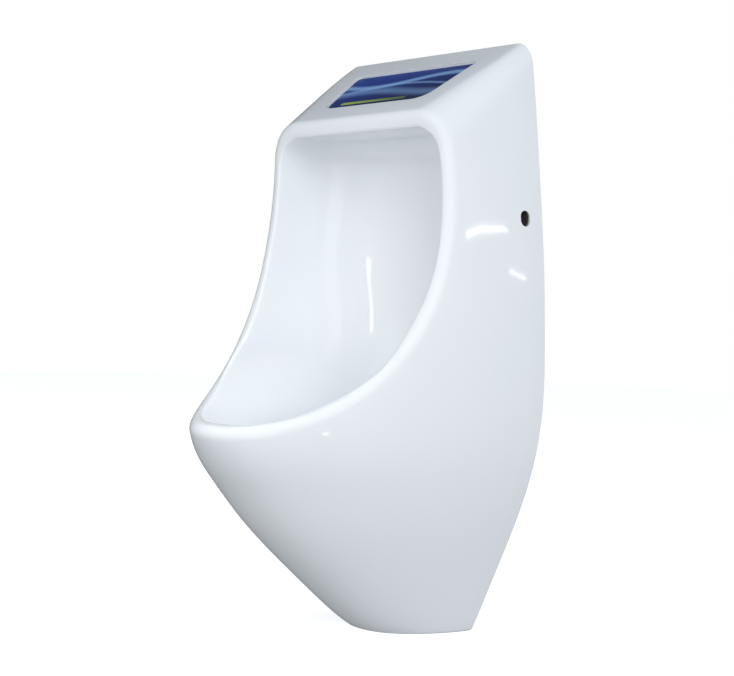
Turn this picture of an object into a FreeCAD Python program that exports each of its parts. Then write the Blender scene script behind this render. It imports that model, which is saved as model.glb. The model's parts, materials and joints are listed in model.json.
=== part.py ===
"""Waterless wall-hung urinal: moulded shell and bowl, lift-out trap cartridge, display frame.

Frame: +X to the right of someone facing it, -Y out from the wall, +Z up, millimetres.
The wall plane is Y = 0 and the lower edge of the shell is Z = 0.
"""
import FreeCAD, Part
import math
import os
import Sketcher
from FreeCAD import Placement, Rotation, Vector

doc = FreeCAD.newDocument("waterless_urinal")

# Driving dimensions

SIZES = (
    # Outer form of the shell
    ("shell_height", 700),
    ("top_width", 299),
    ("waist_width", 376),
    ("bottom_width", 174),
    ("waist_height", 216),
    ("waist_blend", 17.7),
    ("shell_depth", 345),
    ("bottom_depth", 97),
    ("nose_height", 233),
    ("nose_blend", 8),
    ("front_bulge", 21.5),
    ("side_power", 2.2),
    ("depth_power", 1.35),
    ("shell_wall", 4),
    ("foot_round", 8),
    # Sloping hood and the scooped rim
    ("hood_depth", 141),
    ("hood_drop", 94),
    ("hood_wall", 7),
    ("ridge_corner_round", 22),
    ("hood_corner_round", 52),
    ("scoop_depth", 144),
    ("scoop_place", 0.5),
    ("scoop_lean", 15),
    ("lip_height", 253),
    ("rim_wall", 5),
    ("rim_round", 13),
    ("rim_band", 16),
    ("rim_inner_round", 3),
    # Bowl
    ("bowl_wall", 4),
    ("bowl_back_gap", 34),
    ("bowl_square", 2.6),
    ("bowl_centre", 110),
    ("bowl_ease", 0.6),
    ("bowl_back_rise", 80),
    ("ceiling_round", 36),
    ("glue_flange", 3),
    ("glue_gap", 0.3),
    ("drain_setback", 130),
    ("drain_height", 186),
    ("well_width", 118),
    ("well_depth", 4),
    # Trap housing under the bowl
    ("housing_bore", 101),
    ("housing_wall", 3),
    ("housing_flange", 3),
    ("sump_width", 66),
    ("sump_gap", 12.5),
    ("sump_headroom", 10),
    ("seal_thickness", 2),
    ("fit_clearance", 0.3),
    ("press_gap", 0.1),
    ("nut_height", 12),
    ("nut_wall", 8),
    ("nut_notches", 6),
    ("notch_width", 8),
    ("notch_depth", 2.7),
    ("washer_thickness", 1.5),
    ("outlet_width", 50),
    ("outlet_wall", 3),
    ("outlet_rise", 30),
    ("outlet_reach", 40),
    ("stub_length", 24),
    ("socket_wall", 4),
    ("socket_overlap", 18),
    ("bead_slope", 2),
    ("pipe_seal_section", 4.2),
    ("pipe_seal_setback", 9.6),
    ("seal_bevel", 1),
    # Lift-out cartridge
    ("disc_width", 112),
    ("disc_thickness", 3),
    ("disc_edge", 1),
    ("disc_edge_width", 2),
    ("ridge_width", 1),
    ("ridge_rise", 0.7),
    ("slot_length", 3.8),
    ("slot_width", 2.4),
    ("first_ring", 31),
    ("ring_pitch", 4.5),
    ("ring_count", 5),
    ("slots_per_ring", 36),
    ("cup_wall", 2.4),
    ("cup_gap", 2.5),
    ("mouth_flare", 2.5),
    ("mouth_gap", 0.45),
    ("mouth_wall", 2),
    ("cup_depth", 69),
    ("standpipe_bore", 34),
    ("standpipe_wall", 2.5),
    ("standpipe_height", 47),
    ("seal_ring_section", 3.6),
    ("seal_ring_drop", 37),
    ("dome_width", 58),
    ("dome_height", 38),
    ("dome_wall", 1.6),
    ("dome_side_radius", 62),
    ("dome_tip_width", 13),
    ("dome_tip_drop", 2.2),
    ("block_width", 44),
    ("block_height", 14),
    ("block_shoulder", 6),
    ("block_top_width", 28),
    # Float valve
    ("bell_width", 72),
    ("bell_wall", 2.2),
    ("bell_height", 40),
    ("float_seal_width", 44),
    ("float_seal_thickness", 3),
    ("stem_width", 6),
    ("stem_head_width", 12),
    ("stem_head_height", 2.5),
    ("guide_height", 6),
    ("guide_lift", 10),
    ("guide_rib", 2.5),
    ("guide_spokes", 3),
    ("float_travel", 8),
    # Display on the hood
    ("display_back_width", 200),
    ("display_front_width", 166),
    ("display_length", 94),
    ("display_start", 38),
    ("display_back_round", 8),
    ("display_front_round", 22),
    ("display_depth", 3),
    ("card_thickness", 0.6),
    ("cover_thickness", 2.2),
    ("cover_skirt", 1.4),
    ("skirt_depth", 1.8),
    # Wall bracket and its screws
    ("bracket_height", 95),
    ("bracket_sheet", 3),
    ("hook_drop", 152),
    ("hook_gap", 8),
    ("hook_play", 0.8),
    ("hook_rise", 12),
    ("bar_height", 45),
    ("ear_length", 44),
    ("ear_height", 44),
    ("ear_round", 11),
    ("ear_inset", 22.5),
    ("wall_hole", 9),
    ("wall_hole_spacing", 220),
    ("wall_hole_rise", 40),
    ("screw_setback", 28),
    ("screw_drop", 56),
    ("screw_pocket_width", 14),
    ("screw_pocket_height", 18),
    ("pocket_floor", 3),
    ("pocket_wall", 3),
    ("screw_width", 6),
    ("screw_length", 16),
    ("screw_head_width", 10),
    ("screw_head_height", 6),
    ("key_across_flats", 5),
    ("key_depth", 3),
    ("washer_width", 12),
    ("nut_across_flats", 10),
    ("nut_thickness", 5),
)

sheet = doc.addObject("Spreadsheet::Sheet", "sizes")
for row, (alias, number) in enumerate(SIZES, 1):
    sheet.set(f"A{row}", alias)
    sheet.set(f"B{row}", str(number))
    sheet.setAlias(f"B{row}", alias)
doc.recompute()


class Formula:
    """A number together with the spreadsheet formula that gives it."""

    def __init__(self, value, text):
        self.value = value
        self.text = text

    @staticmethod
    def of(other):
        return other if isinstance(other, Formula) else Formula(float(other), repr(float(other)))

    def __add__(self, other):
        other = Formula.of(other)
        return Formula(self.value + other.value, f"({self.text} + {other.text})")

    def __sub__(self, other):
        other = Formula.of(other)
        return Formula(self.value - other.value, f"({self.text} - {other.text})")

    def __mul__(self, other):
        other = Formula.of(other)
        return Formula(self.value * other.value, f"({self.text} * {other.text})")

    def __truediv__(self, other):
        other = Formula.of(other)
        return Formula(self.value / other.value, f"({self.text} / {other.text})")

    def __neg__(self):
        return Formula(-self.value, f"(-1 * {self.text})")


class Sizes:
    """Reads a driving dimension from the sheet by its alias."""

    def __getattr__(self, alias):
        return Formula(float(sheet.get(alias)), f"sizes.{alias}")


size = Sizes()

OVERRUN = 1
TOUCH = 0.02


def num(alias):
    return float(sheet.get(alias))


def between(first, second, share):
    return first + (second - first) * share


# Sketch and body helpers

def origin_plane(body, role):
    return next(feature for feature in body.Origin.OriginFeatures if feature.Role == role)


def new_body(label, x=None, y=None, z=None):
    """A body whose placement is bound to the sheet on the given axes."""
    body = doc.addObject("PartDesign::Body", label)
    body.Label = label
    for axis, offset in (("x", x), ("y", y), ("z", z)):
        if offset is not None:
            body.setExpression(f"Placement.Base.{axis}", offset.text)
    return body


def new_sketch(body, role, name):
    sketch = body.newObject("Sketcher::SketchObject", name)
    sketch.AttachmentSupport = [(origin_plane(body, role), "")]
    sketch.MapMode = "FlatFace"
    return sketch


def pin_point(sketch, geometry, point, corner):
    """Fix one point of a sketch at a corner given as two formulas."""
    for kind, formula in zip(("DistanceX", "DistanceY"), corner):
        formula = Formula.of(formula)
        index = sketch.addConstraint(
            Sketcher.Constraint(kind, -1, 1, geometry, point, formula.value))
        sketch.setExpression(f"Constraints[{index}]", formula.text)


def arc_middle(start, end, radius, side):
    """Middle of the arc from start to end that bulges to its left (side 1) or right (side -1)."""
    chord = end - start
    left = Vector(-chord.y, chord.x, 0).normalize()
    rise = radius - math.sqrt(radius ** 2 - (chord.Length / 2) ** 2)
    return (start + end) * 0.5 + left * (side * rise)


def outline(sketch, corners, arcs=None):
    """Draw a closed outline; arcs maps a corner's number to (radius, side) of the arc after it."""
    arcs = arcs or {}
    points = [Vector(Formula.of(x).value, Formula.of(y).value, 0) for x, y in corners]
    ends = []
    for number, start in enumerate(points):
        end = points[(number + 1) % len(points)]
        if number in arcs:
            radius, side = arcs[number]
            middle = arc_middle(start, end, radius.value, side)
            forward = side < 0
            turn = (start, middle, end) if forward else (end, middle, start)
            geometry = sketch.addGeometry(Part.Arc(*turn), False)
            index = sketch.addConstraint(Sketcher.Constraint("Radius", geometry, radius.value))
            sketch.setExpression(f"Constraints[{index}]", radius.text)
        else:
            geometry = sketch.addGeometry(Part.LineSegment(start, end), False)
            forward = True
        ends.append((geometry, 1, 2) if forward else (geometry, 2, 1))
    for number, corner in enumerate(corners):
        geometry, first, _ = ends[number]
        before, _, last = ends[number - 1]
        sketch.addConstraint(Sketcher.Constraint("Coincident", before, last, geometry, first))
        pin_point(sketch, geometry, first, corner)


def circle(sketch, centre, radius):
    middle = Vector(Formula.of(centre[0]).value, Formula.of(centre[1]).value, 0)
    geometry = sketch.addGeometry(Part.Circle(middle, Vector(0, 0, 1), radius.value), False)
    pin_point(sketch, geometry, 3, centre)
    index = sketch.addConstraint(Sketcher.Constraint("Radius", geometry, radius.value))
    sketch.setExpression(f"Constraints[{index}]", radius.text)


def revolve(body, corners, arcs=None, name="Profile"):
    """Turn a profile of (radius, height) corners about the body's vertical axis."""
    sketch = new_sketch(body, "XZ_Plane", name)
    outline(sketch, corners, arcs)
    turned = body.newObject("PartDesign::Revolution", name + "Turned")
    turned.Profile = sketch
    turned.ReferenceAxis = (sketch, ["V_Axis"])
    turned.Angle = 360
    return turned


def pad(body, sketch, length, midplane=False, reversed_way=False):
    raised = body.newObject("PartDesign::Pad", sketch.Name + "Raised")
    raised.Profile = sketch
    raised.setExpression("Length", Formula.of(length).text)
    raised.Midplane = midplane
    raised.Reversed = reversed_way
    return raised


def pocket_through(body, sketch):
    """Cut a sketch right through the body, both ways from its plane."""
    cut = body.newObject("PartDesign::Pocket", sketch.Name + "Cut")
    cut.Profile = sketch
    cut.Type = "ThroughAll"
    cut.Midplane = True
    return cut


def polar_copies(body, feature, count):
    pattern = body.newObject("PartDesign::PolarPattern", feature.Name + "Copies")
    pattern.Originals = [feature]
    pattern.Axis = (origin_plane(body, "Z_Axis"), [""])
    pattern.Angle = 360
    pattern.setExpression("Occurrences", count.text)
    body.Tip = pattern
    return pattern


def boolean(kind, name, base, tool):
    result = doc.addObject(f"Part::{kind}", name)
    result.Base = base
    result.Tool = tool
    return result


def feature(name, shape):
    """A document object that holds a shape made with Part's own functions."""
    made = doc.addObject("Part::Feature", name)
    made.Shape = shape
    return made


def block(name, x, y, z):
    """A box between pairs of formulas."""
    made = doc.addObject("Part::Box", name)
    for side, axis, (low, high) in (("Length", "x", x), ("Width", "y", y), ("Height", "z", z)):
        made.setExpression(side, (high - low).text)
        made.setExpression(f"Placement.Base.{axis}", Formula.of(low).text)
    return made


def drain_cylinder(name, radius, low, high):
    """A cylinder on the drain's axis."""
    made = doc.addObject("Part::Cylinder", name)
    made.setExpression("Radius", radius.text)
    made.setExpression("Height", (high - low).text)
    made.setExpression("Placement.Base.y", (-size.drain_setback).text)
    made.setExpression("Placement.Base.z", low.text)
    return made


# Outer form: its half-width and its depth by height

def soft_min(first, second, blend):
    """The smaller of two numbers, rounded off where they cross."""
    least = min(first, second)
    return least - blend * math.log(
        math.exp((least - first) / blend) + math.exp((least - second) / blend))


def half_width(z):
    """Half the shell's width at the wall, at height z."""
    foot, waist, top = num("bottom_width") / 2, num("waist_width") / 2, num("top_width") / 2
    taper = foot + (waist - foot) * z / num("waist_height")
    rise = max(z - num("waist_height"), 0) / (num("shell_height") - num("waist_height"))
    return soft_min(taper, waist - (waist - top) * rise ** 2, num("waist_blend"))


def depth(z):
    """How far the shell would reach out from the wall at height z, before the scoop is cut."""
    foot, full, share = num("bottom_depth"), num("shell_depth"), z / num("nose_height")
    bulge = 4 * num("front_bulge") * share * (1 - share) if share < 1 else 0
    return soft_min(foot + (full - foot) * share + bulge, full, num("nose_blend"))


def height_at_depth(reach):
    """The height, in whole millimetres, at which the shell first reaches out this far."""
    low, high = 0.0, num("nose_height")
    while high - low > TOUCH:
        middle = (low + high) / 2
        if depth(middle) < reach:
            low = middle
        else:
            high = middle
    return math.ceil(low)


# Side screws: axis, faces and round tools along X

hook_height = size.shell_height - size.hook_drop
screw_height = hook_height - size.screw_drop
HALF_SPAN = Formula.of(half_width(screw_height.value)) - size.ear_inset
BRACKET_SPAN = HALF_SPAN * 2
POCKET_FACE = HALF_SPAN + size.pocket_floor
OUTSIDE = size.waist_width / 2 + OVERRUN
screw_hole = size.screw_width / 2 + size.fit_clearance
WALL_BOLT_HEIGHT = hook_height - size.bracket_height / 2


def cross_cylinder(name, radius, low, high, rise=0.0):
    """A cylinder along X between two distances, on the axis of the side screws."""
    made = doc.addObject("Part::Cylinder", name)
    made.setExpression("Radius", Formula.of(radius).text)
    made.setExpression("Height", (high - low).text)
    made.Placement = Placement(Vector(), Rotation(Vector(0, 1, 0), 90))
    made.setExpression("Placement.Base.x", low.text)
    made.setExpression("Placement.Base.y", (-size.screw_setback).text)
    made.setExpression("Placement.Base.z", (screw_height + rise).text)
    return made


def upright_slot(name, width, height, low, high):
    """A round-ended upright slot along X, on the axis of the side screws."""
    half, rise = width / 2, (height - width) / 2
    axis_y = -size.screw_setback
    middle = block(name + "Middle", (low, high), (axis_y - half, axis_y + half),
                   (screw_height - rise, screw_height + rise))
    made = doc.addObject("Part::MultiFuse", name)
    made.Shapes = [middle, cross_cylinder(name + "Top", half, low, high, rise),
                   cross_cylinder(name + "Bottom", half, low, high, -rise)]
    return made


def joined(name, parts):
    made = doc.addObject("Part::MultiFuse", name)
    made.Shapes = parts
    return made


def both_sides(name, build):
    """A piece built at +X together with its mirror image at -X."""
    right = build(name)
    left = doc.addObject("Part::Mirroring", name + "Left")
    left.Source = right
    left.Normal = Vector(1, 0, 0)
    return [right, left]


# Heights and radii that the drain pieces share

drain_floor = size.drain_height - size.well_depth
seal_top = drain_floor + size.seal_thickness
seat = seal_top + size.housing_flange
disc_top = seat + size.disc_thickness
bore_radius = size.housing_bore / 2
housing_radius = bore_radius + size.housing_wall
hole_radius = housing_radius + size.fit_clearance
mouth_radius = bore_radius + size.mouth_flare
flange_radius = size.well_width / 2 - size.fit_clearance * 2
under_bowl = drain_floor - size.bowl_wall
nut_top = under_bowl - size.washer_thickness
AXIS_Y = -size.drain_setback
cup_floor = seat - size.cup_depth
sump_reach = size.drain_setback + size.sump_width / 2 + size.shell_wall + size.sump_gap
sump_floor = Formula.of(height_at_depth(sump_reach.value))
outlet_height = sump_floor + size.outlet_rise


# Trap housing and what clamps it to the bowl

def trap_housing():
    """Cup with a seat flange on top and a side outlet stub towards the wall."""
    body = new_body("trap_housing", y=AXIS_Y)
    sump, taper_top = size.sump_width / 2, cup_floor - size.sump_headroom
    revolve(body, [
        (0, sump_floor), (sump, sump_floor), (housing_radius, taper_top), (housing_radius, seal_top),
        (flange_radius, seal_top), (flange_radius, seat), (0, seat)], name="HousingOutside")
    stub = new_sketch(body, "XZ_Plane", "OutletStub")
    circle(stub, (0, outlet_height), size.outlet_width / 2)
    pad(body, stub, housing_radius + size.stub_length, reversed_way=True)
    inside = new_sketch(body, "XZ_Plane", "HousingInside")
    floor = sump_floor + size.housing_wall
    outline(inside, [(0, floor), (sump - size.housing_wall, floor), (bore_radius, taper_top),
                     (bore_radius, seat - size.mouth_flare), (mouth_radius, seat), (0, seat)])
    hollowed = body.newObject("PartDesign::Groove", "HousingHollow")
    hollowed.Profile = inside
    hollowed.ReferenceAxis = (inside, ["V_Axis"])
    hollowed.Angle = 360
    channel = new_sketch(body, "XZ_Plane", "OutletBore")
    circle(channel, (0, outlet_height), size.outlet_width / 2 - size.outlet_wall)
    bored = body.newObject("PartDesign::Pocket", "OutletBored")
    bored.Profile = channel
    bored.setExpression("Length", (housing_radius + size.stub_length + OVERRUN).text)
    return body


def drain_ring(label, inner, outer, low, high):
    """A flat ring on the drain's axis."""
    body = new_body(label, y=AXIS_Y)
    revolve(body, [(inner, low), (outer, low), (outer, high), (inner, high)], name=label + "Section")
    return body


def housing_nut():
    """Ring nut under the bowl, notched round its edge for a spanner."""
    outer = hole_radius + size.nut_wall
    low = nut_top - size.nut_height
    body = drain_ring("housing_nut", hole_radius, outer, low, nut_top)
    notch = new_sketch(body, "XY_Plane", "SpannerNotch")
    inner, half = outer - size.notch_depth, size.notch_width / 2
    outline(notch, [(inner, -half), (outer + OVERRUN, -half), (outer + OVERRUN, half), (inner, half)])
    cut = pocket_through(body, notch)
    polar_copies(body, cut, size.nut_notches)
    return body


# Outlet pipe, with a socket over the housing's stub

STUB_END = AXIS_Y + housing_radius + size.stub_length
PIPE_RADIUS = size.outlet_width / 2
SOCKET_RADIUS = PIPE_RADIUS + size.fit_clearance
PIPE_SEAL = PIPE_RADIUS + size.press_gap
SEAL_MIDDLE = STUB_END - size.pipe_seal_setback
ALONG_WALL_AXIS = Rotation(Vector(1, 0, 0), -90)


def outlet_pipe():
    """Pipe through the wall plane; its socket has a bead that holds the sealing ring."""
    body = new_body("outlet_pipe", z=outlet_height)
    body.Placement.Rotation = ALONG_WALL_AXIS
    outside, bore = SOCKET_RADIUS + size.socket_wall, PIPE_RADIUS - size.outlet_wall
    ring = PIPE_SEAL + size.pipe_seal_section + size.press_gap
    bead = ring + size.socket_wall
    half = size.pipe_seal_section / 2 + size.press_gap
    groove_start, groove_end = SEAL_MIDDLE - half, SEAL_MIDDLE + half
    shoulder, mouth = STUB_END + size.fit_clearance, STUB_END - size.socket_overlap
    neck = shoulder + size.socket_wall
    end, bevel = size.outlet_reach, size.outlet_wall / 2
    revolve(body, [
        (SOCKET_RADIUS, mouth), (outside, mouth), (outside, groove_start - size.bead_slope),
        (bead, groove_start), (bead, groove_end), (outside, groove_end + size.bead_slope),
        (outside, neck), (PIPE_RADIUS, neck + size.socket_wall),
        (PIPE_RADIUS, end - bevel), (PIPE_RADIUS - bevel, end), (bore, end),
        (bore, shoulder), (SOCKET_RADIUS, shoulder), (SOCKET_RADIUS, groove_end),
        (ring, groove_end), (ring, groove_start), (SOCKET_RADIUS, groove_start)], name="PipeSection")
    return body


def sealing_ring(body, inner, section, middle):
    """A rubber ring of square section with bevelled edges, round the body's own axis."""
    outer, low, high = inner + section, middle - section / 2, middle + section / 2
    bevel = size.seal_bevel
    revolve(body, [
        (inner, low + bevel), (inner + bevel, low), (outer - bevel, low), (outer, low + bevel),
        (outer, high - bevel), (outer - bevel, high), (inner + bevel, high), (inner, high - bevel)],
        name=body.Label + "Section")
    return body


def outlet_seal():
    body = new_body("outlet_seal", z=outlet_height)
    body.Placement.Rotation = ALONG_WALL_AXIS
    return sealing_ring(body, PIPE_SEAL, size.pipe_seal_section, SEAL_MIDDLE)


# Lift-out cartridge

cup_radius = bore_radius - size.cup_gap
standpipe_top = cup_floor + size.standpipe_height
seal_height = seat - size.seal_ring_drop
CUP_SEAL = bore_radius - size.fit_clearance - size.seal_ring_section
PITCH = 360 / num("slots_per_ring")


def strainer_disc():
    """Perforated disc: staggered rings of slots between low concentric ridges."""
    body = new_body("strainer_disc", y=AXIS_Y)
    edge, edge_top = size.disc_width / 2, disc_top + size.disc_edge
    step = edge - size.disc_edge_width
    corners = [(0, seat), (edge, seat), (edge, edge_top), (step, edge_top), (step, disc_top)]
    high, half = disc_top + size.ridge_rise, size.ridge_width / 2
    for ring in range(int(num("ring_count")) - 1, 0, -1):
        middle = size.first_ring + size.ring_pitch * ring - size.ring_pitch / 2
        low_side, high_side = middle - half, middle + half
        corners += [(high_side, disc_top), (high_side, high), (low_side, high), (low_side, disc_top)]
    revolve(body, corners + [(0, disc_top)], name="DiscSection")
    for start in (0, 1):
        sketch = new_sketch(body, "XY_Plane", f"Slots{start}")
        for ring in range(start, int(num("ring_count")), 2):
            middle = size.first_ring + size.ring_pitch * ring
            inner, outer = middle - size.slot_width / 2, middle + size.slot_width / 2
            side = size.slot_length / 2
            outline(sketch, [(inner, -side), (outer, -side), (outer, side), (inner, side)])
        sketch.AttachmentOffset = Placement(Vector(), Rotation(Vector(0, 0, 1), PITCH * start / 2))
        cut = pocket_through(body, sketch)
        polar_copies(body, cut, size.slots_per_ring)
    return body


def cap_radius(reach, drop):
    """Radius of a round cap that falls by drop at a distance reach from its axis."""
    return (reach * reach + drop * drop) / (drop * 2)


def dome():
    """Hollow pointed dome over the cleaning block."""
    body = new_body("dome", y=AXIS_Y)
    base, tip, wall = size.dome_width / 2, size.dome_tip_width / 2, size.dome_wall
    top, drop = disc_top + size.dome_height, size.dome_tip_drop
    inner_base, inner_tip, inner_top = base - wall, tip - wall / 2, top - wall
    revolve(body, [(base, disc_top), (tip, top - drop), (0, top),
                   (0, inner_top), (inner_tip, inner_top - drop), (inner_base, disc_top)],
            {0: (size.dome_side_radius, -1), 1: (cap_radius(tip, drop), -1),
             3: (cap_radius(inner_tip, drop), 1), 4: (size.dome_side_radius - wall, 1)}, name="DomeSection")
    return body


def cleaning_block():
    """Round block with a sloping shoulder, lying on the disc inside the dome."""
    body = new_body("cleaning_block", y=AXIS_Y)
    radius, top = size.block_width / 2, disc_top + size.block_height
    revolve(body, [(0, disc_top), (radius, disc_top), (radius, disc_top + size.block_shoulder),
                   (size.block_top_width / 2, top), (0, top)], name="BlockSection")
    return body


def cartridge_cup():
    """Cup that holds the liquid, with a standpipe in its middle and a groove for the sealing ring."""
    body = new_body("cartridge_cup", y=AXIS_Y)
    bore, pipe = size.standpipe_bore / 2, size.standpipe_bore / 2 + size.standpipe_wall
    flare = mouth_radius - size.mouth_gap
    rise = flare - cup_radius
    floor, inside = cup_floor + size.cup_wall, cup_radius - size.cup_wall
    groove = CUP_SEAL - size.press_gap
    half = size.seal_ring_section / 2 + size.press_gap
    groove_low, groove_high = seal_height - half, seal_height + half
    revolve(body, [
        (bore, cup_floor), (cup_radius, cup_floor), (cup_radius, groove_low), (groove, groove_low),
        (groove, groove_high), (cup_radius, groove_high), (cup_radius, seat - rise), (flare, seat),
        (flare - size.mouth_wall, seat), (inside, seat - rise), (inside, floor), (pipe, floor),
        (pipe, standpipe_top), (bore, standpipe_top)], name="CupSection")
    return body


def cartridge_seal():
    return sealing_ring(new_body("cartridge_seal", y=AXIS_Y), CUP_SEAL, size.seal_ring_section,
                        seal_height)


def guide_spider():
    """Spoked guide for the float's stem, pressed into the standpipe."""
    low = cup_floor + size.guide_lift
    high = low + size.guide_height
    outer = size.standpipe_bore / 2 - size.press_gap
    hub_bore = size.stem_width / 2 + size.fit_clearance
    hub = hub_bore + size.guide_rib
    body = new_body("guide_spider", y=AXIS_Y)
    revolve(body, [(hub_bore, low), (hub, low), (hub, high), (hub_bore, high)], name="Hub")
    sketch = new_sketch(body, "XY_Plane", "Spoke")
    half = size.guide_rib / 2
    start, end = hub_bore + half, outer - half
    outline(sketch, [(start, -half), (end, -half), (end, half), (start, half)])
    sketch.setExpression("AttachmentOffset.Base.z", low.text)
    spoke = pad(body, sketch, size.guide_height)
    polar_copies(body, spoke, size.guide_spokes)
    inner = outer - size.guide_rib
    revolve(body, [(inner, low), (outer, low), (outer, high), (inner, high)], name="Rim")
    return body


# Float valve on the standpipe

bell_under = standpipe_top + size.float_seal_thickness
bell_top = bell_under + size.bell_wall
stem_hole = size.stem_width / 2 + size.press_gap


def float_bell():
    """Inverted cup that floats up in the liquid round the standpipe."""
    body = new_body("float_bell", y=AXIS_Y)
    outer = size.bell_width / 2
    skirt = bell_top - size.bell_height
    inner = outer - size.bell_wall
    revolve(body, [(stem_hole, bell_under), (inner, bell_under), (inner, skirt), (outer, skirt),
                   (outer, bell_top), (stem_hole, bell_top)], name="BellSection")
    return body


def float_stem():
    """Pin that clamps the seal to the bell and slides in the guide."""
    body = new_body("float_stem", y=AXIS_Y)
    rod, head = size.stem_width / 2, size.stem_head_width / 2
    low = cup_floor + size.guide_lift - size.float_travel - OVERRUN
    collar = standpipe_top - size.stem_head_height
    head_top = bell_top + size.stem_head_height
    revolve(body, [(0, low), (rod, low), (rod, collar), (head, collar), (head, standpipe_top),
                   (rod, standpipe_top), (rod, bell_top), (head, bell_top), (head, head_top), (0, head_top)],
            name="StemSection")
    return body


# Wall bracket and its fasteners

def wall_bracket():
    """Folded steel bracket: wall plate, upturned hook along its top and two side ears."""
    body = new_body("wall_bracket")
    sheet_y, top = -size.bracket_sheet, hook_height
    lip, lip_top = sheet_y - size.hook_gap, top + size.hook_rise
    lip_front, under_hook = lip - size.bracket_sheet, top - size.bracket_sheet
    low_edge = top - size.bracket_height
    profile = new_sketch(body, "YZ_Plane", "HookProfile")
    outline(profile, [(0, low_edge), (0, top), (lip, top), (lip, lip_top), (lip_front, lip_top),
                      (lip_front, under_hook), (sheet_y, under_hook), (sheet_y, low_edge)])
    pad(body, profile, BRACKET_SPAN, midplane=True)
    ears = new_sketch(body, "YZ_Plane", "Ears")
    half, corner = size.ear_height / 2, size.ear_round
    low, high, front = screw_height - half, screw_height + half, -size.ear_length
    outline(ears, [(0, low), (0, high), (front + corner, high), (front, high - corner),
                   (front, low + corner), (front + corner, low)], {2: (corner, 1), 4: (corner, 1)})
    pad(body, ears, BRACKET_SPAN, midplane=True)
    between_ears = new_sketch(body, "YZ_Plane", "BetweenEars")
    below, above, beyond = low - OVERRUN, high + OVERRUN, front - OVERRUN
    outline(between_ears, [(sheet_y, below), (sheet_y, above), (beyond, above), (beyond, below)])
    opened = body.newObject("PartDesign::Pocket", "EarsOpened")
    opened.Profile = between_ears
    opened.setExpression("Length", (BRACKET_SPAN - size.bracket_sheet * 2).text)
    opened.Midplane = True
    ear_holes = new_sketch(body, "YZ_Plane", "EarHoles")
    circle(ear_holes, (-size.screw_setback, screw_height), screw_hole)
    pocket_through(body, ear_holes)
    bolts = new_sketch(body, "XZ_Plane", "WallHoles")
    for side in (-1, 1):
        for level in (-1, 1):
            across, up = size.wall_hole_spacing / 2 * side, size.wall_hole_rise / 2 * level
            circle(bolts, (across, WALL_BOLT_HEIGHT + up), size.wall_hole / 2)
    pocket_through(body, bolts)
    return body


def hex_prism(name, across_flats, low, high):
    made = doc.addObject("Part::Prism", name)
    made.Polygon = 6
    made.setExpression("Circumradius", (across_flats / math.sqrt(3)).text)
    made.setExpression("Height", (high - low).text)
    made.Placement = Placement(Vector(), Rotation(Vector(0, 1, 0), 90))
    made.setExpression("Placement.Base.x", low.text)
    made.setExpression("Placement.Base.y", (-size.screw_setback).text)
    made.setExpression("Placement.Base.z", screw_height.text)
    return made


EAR_INSIDE = HALF_SPAN - size.bracket_sheet
HEAD_SEAT = POCKET_FACE + size.washer_thickness


def weld_nut(name):
    low, thread = EAR_INSIDE - size.nut_thickness, size.screw_width / 2 + size.press_gap
    hole = cross_cylinder(name + "Hole", thread, low - OVERRUN, EAR_INSIDE + OVERRUN)
    return boolean("Cut", name, hex_prism(name + "Hex", size.nut_across_flats, low, EAR_INSIDE), hole)


def side_washer(name):
    plate = cross_cylinder(name + "Plate", size.washer_width / 2, POCKET_FACE, HEAD_SEAT)
    hole = cross_cylinder(name + "Hole", screw_hole, POCKET_FACE - OVERRUN, HEAD_SEAT + OVERRUN)
    return boolean("Cut", name, plate, hole)


def side_screw(name):
    head_end = HEAD_SEAT + size.screw_head_height
    head = cross_cylinder(name + "Head", size.screw_head_width / 2, HEAD_SEAT, head_end)
    shank = cross_cylinder(name + "Shank", size.screw_width / 2, HEAD_SEAT - size.screw_length, HEAD_SEAT)
    key = hex_prism(name + "Key", size.key_across_flats, head_end - size.key_depth, head_end + OVERRUN)
    return boolean("Cut", name, joined(name + "Blank", [head, shank]), key)


def group(label, parts):
    made = doc.addObject("Part::Compound", label)
    made.Links = parts
    return made


# Shell's form: plan curves by height, lofted

BEHIND_WALL = 14
PLAN_STEPS = 16
LOWER_LEVELS = (0, 0.23, 0.46, 0.69, 0.86, 0.97, 1.08)
UPPER_LEVELS = (0.15, 0.29, 0.48, 0.71, 1)
ABOVE_TOP = 20
CUT_MARGIN = 60


def plan_half_width(z, y, inset=0.0):
    """Half-width of the plan curve at height z, at distance -y from the wall."""
    share = min(-y / (depth(z) - inset), 1)
    return (half_width(z) - inset) * (1 - share ** num("depth_power")) ** (1 / num("side_power"))


def plan_wire(z, inset):
    """The shell's outline at one height: a rounded wedge, carried on a little behind the wall."""
    wide, deep = half_width(z) - inset, depth(z) - inset
    points = [Vector(wide, BEHIND_WALL, z), Vector(wide, 0, z)]
    for step in range(1, PLAN_STEPS):
        angle = math.pi * step / PLAN_STEPS
        across = abs(math.cos(angle)) ** (2 / num("side_power"))
        out = math.sin(angle) ** (2 / num("depth_power"))
        points.append(Vector(math.copysign(wide * across, math.cos(angle)), -deep * out, z))
    points += [Vector(-wide, 0, z), Vector(-wide, BEHIND_WALL, z)]
    curve = Part.BSplineCurve()
    curve.interpolate(points)
    return Part.Wire([curve.toShape(), Part.makeLine(points[-1], points[0])])


def hull_loft(name, inset, floor):
    """The shell's full outer form, set in by a wall, from the floor height up past the top."""
    nose, top = num("nose_height"), num("shell_height") + ABOVE_TOP
    levels = [nose * share for share in LOWER_LEVELS]
    levels += [levels[-1] + (top - levels[-1]) * share for share in UPPER_LEVELS]
    levels[0] = floor
    sections = [feature(f"{name}Plan{number}", plan_wire(z, inset)) for number, z in enumerate(levels)]
    loft = doc.addObject("Part::Loft", name)
    loft.Sections = sections
    loft.Solid = True
    loft.Ruled = False
    return loft


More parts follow.
